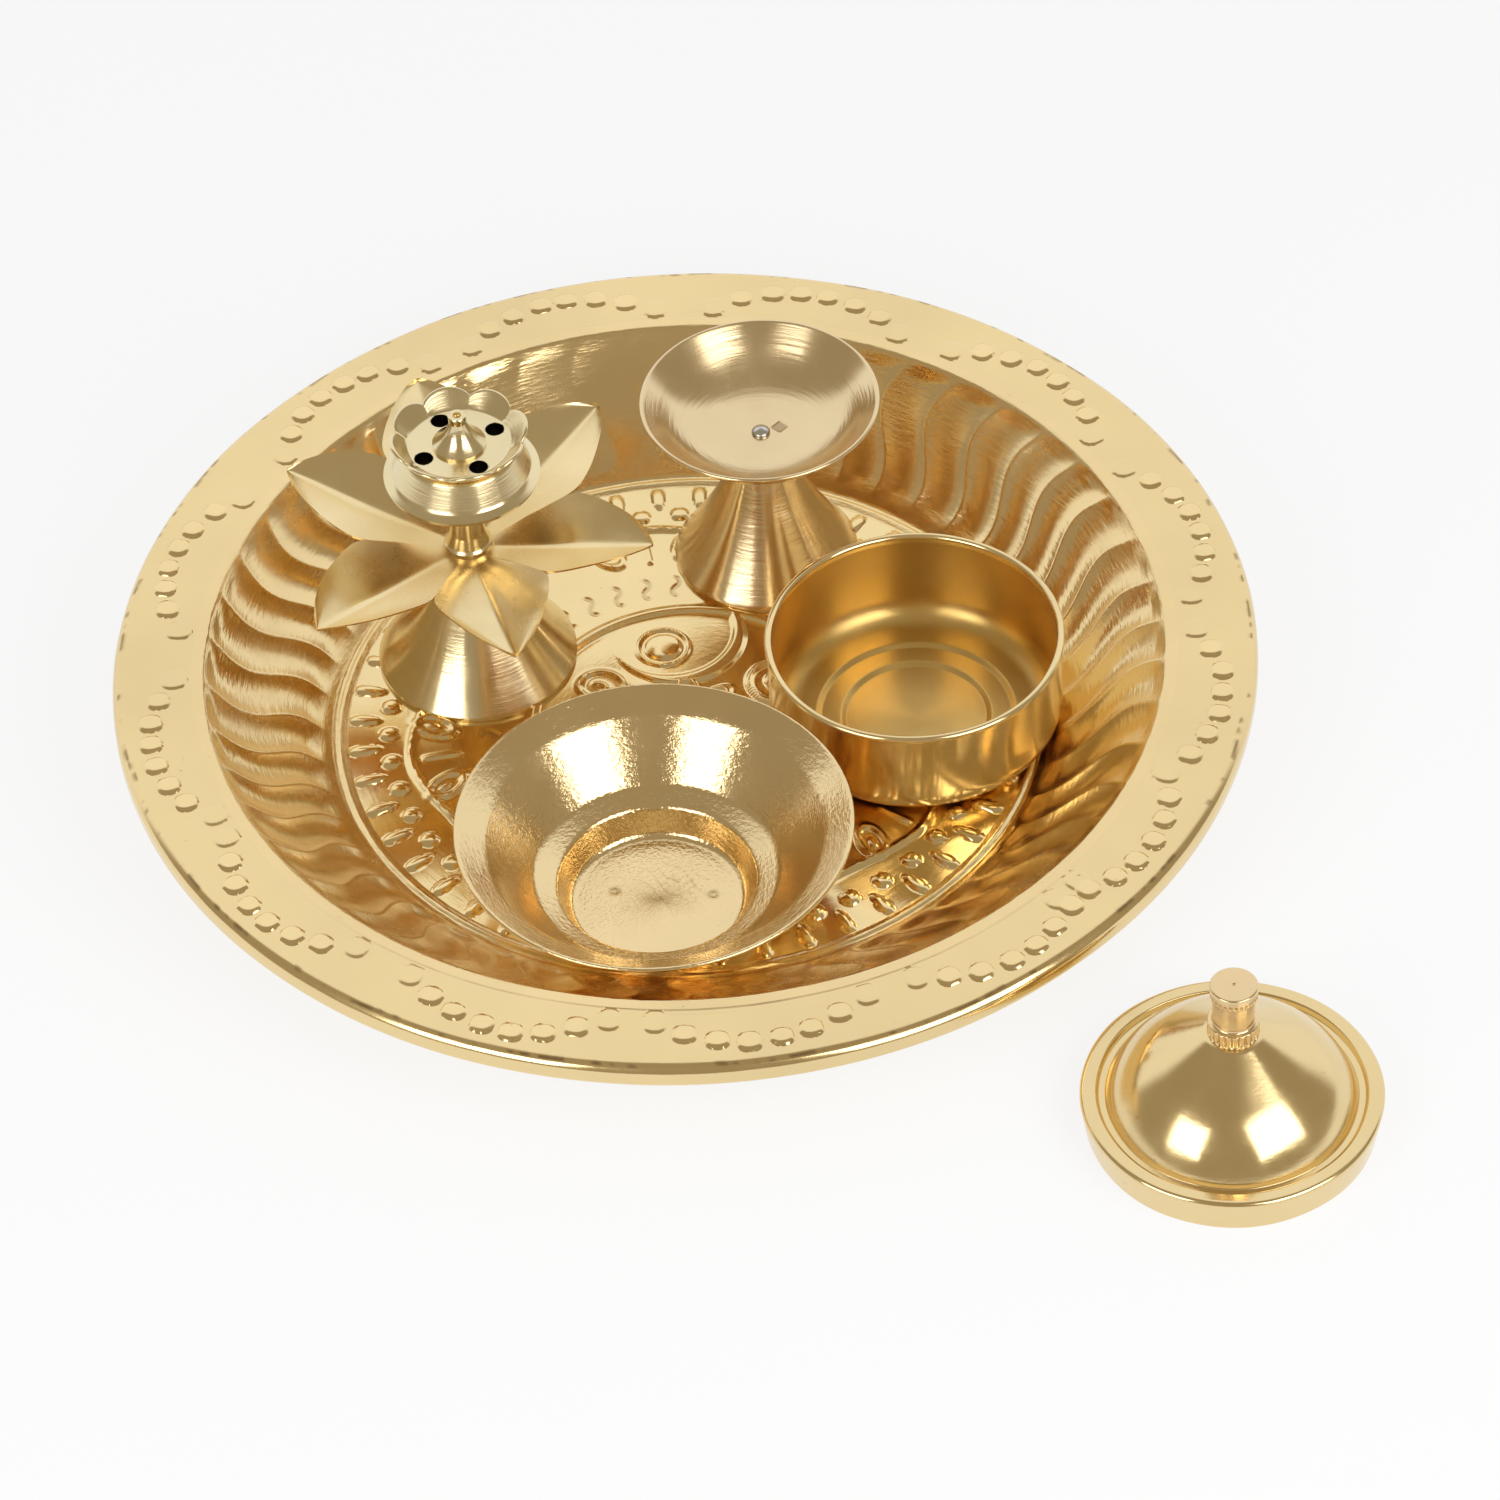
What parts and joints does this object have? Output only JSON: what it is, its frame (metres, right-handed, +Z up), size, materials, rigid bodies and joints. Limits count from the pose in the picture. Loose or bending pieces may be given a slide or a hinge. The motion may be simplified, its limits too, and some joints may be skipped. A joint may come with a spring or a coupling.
{
  "type": "puja thali",
  "caption": "Round brass puja plate with fluted wall and beaded rim, carrying a bowl, a lidded pot, an oil lamp on a cone and a lotus incense stand.",
  "frame": {"origin": "centre of the plate's underside, on the table that the plate and the lid stand on", "axes": "+X to the right of the picture, from the incense stand's side to the pot's; +Y away from the viewer, from the bowl to the lamp; +Z up"},
  "size_m": [0.2154, 0.228, 0.0588],
  "materials": {
    "plate_brass": "polished pressed brass with light tarnish",
    "katori_brass": "spun brass, satin",
    "pot_brass": "drawn brass, polished",
    "lid_brass": "spun brass, mirror polished",
    "knob_brass": "turned brass with knurled bands",
    "diya_brass": "spun brass, pale satin",
    "incense_brass": "turned and pressed brass, pale satin",
    "petal_brass": "stamped brass, matt",
    "rivet_metal": "dull rivet metal",
    "fastener_steel": "plain bright steel"
  },
  "bodies": {
    "plate": {"thali_plate": "plate_brass"},
    "katori": {"katori_bowl": "katori_brass"},
    "pot": {"container_body": "pot_brass"},
    "lid": {"lid_shell": "lid_brass", "lid_knob": "knob_brass", "lid_knob_screw": "fastener_steel"},
    "diya": {"diya_bowl": "diya_brass", "diya_cone_stand": "diya_brass", "diya_rivet": "rivet_metal"},
    "incense_stand": {"incense_cone_base": "incense_brass", "lotus_petal_disc": "petal_brass", "incense_stem": "incense_brass", "incense_bell": "incense_brass", "incense_flower_cup": "incense_brass", "incense_finial_nut": "incense_brass", "incense_tie_rod": "fastener_steel", "incense_base_washer": "fastener_steel", "incense_base_nut": "fastener_steel"}
  },
  "joints": [
    {"name": "katori_lift", "type": "slide", "parent": "plate", "child": "katori", "axis": [0, 0, 1], "range_m": [0, 0.06]},
    {"name": "pot_lift", "type": "slide", "parent": "plate", "child": "pot", "axis": [0, 0, 1], "range_m": [0, 0.06]},
    {"name": "lid_lift", "type": "slide", "parent": "plate", "child": "lid", "axis": [0, 0, 1], "range_m": [0, 0.06]},
    {"name": "diya_lift", "type": "slide", "parent": "plate", "child": "diya", "axis": [0, 0, 1], "range_m": [0, 0.06]},
    {"name": "incense_stand_lift", "type": "slide", "parent": "plate", "child": "incense_stand", "axis": [0, 0, 1], "range_m": [0, 0.06]}
  ]
}
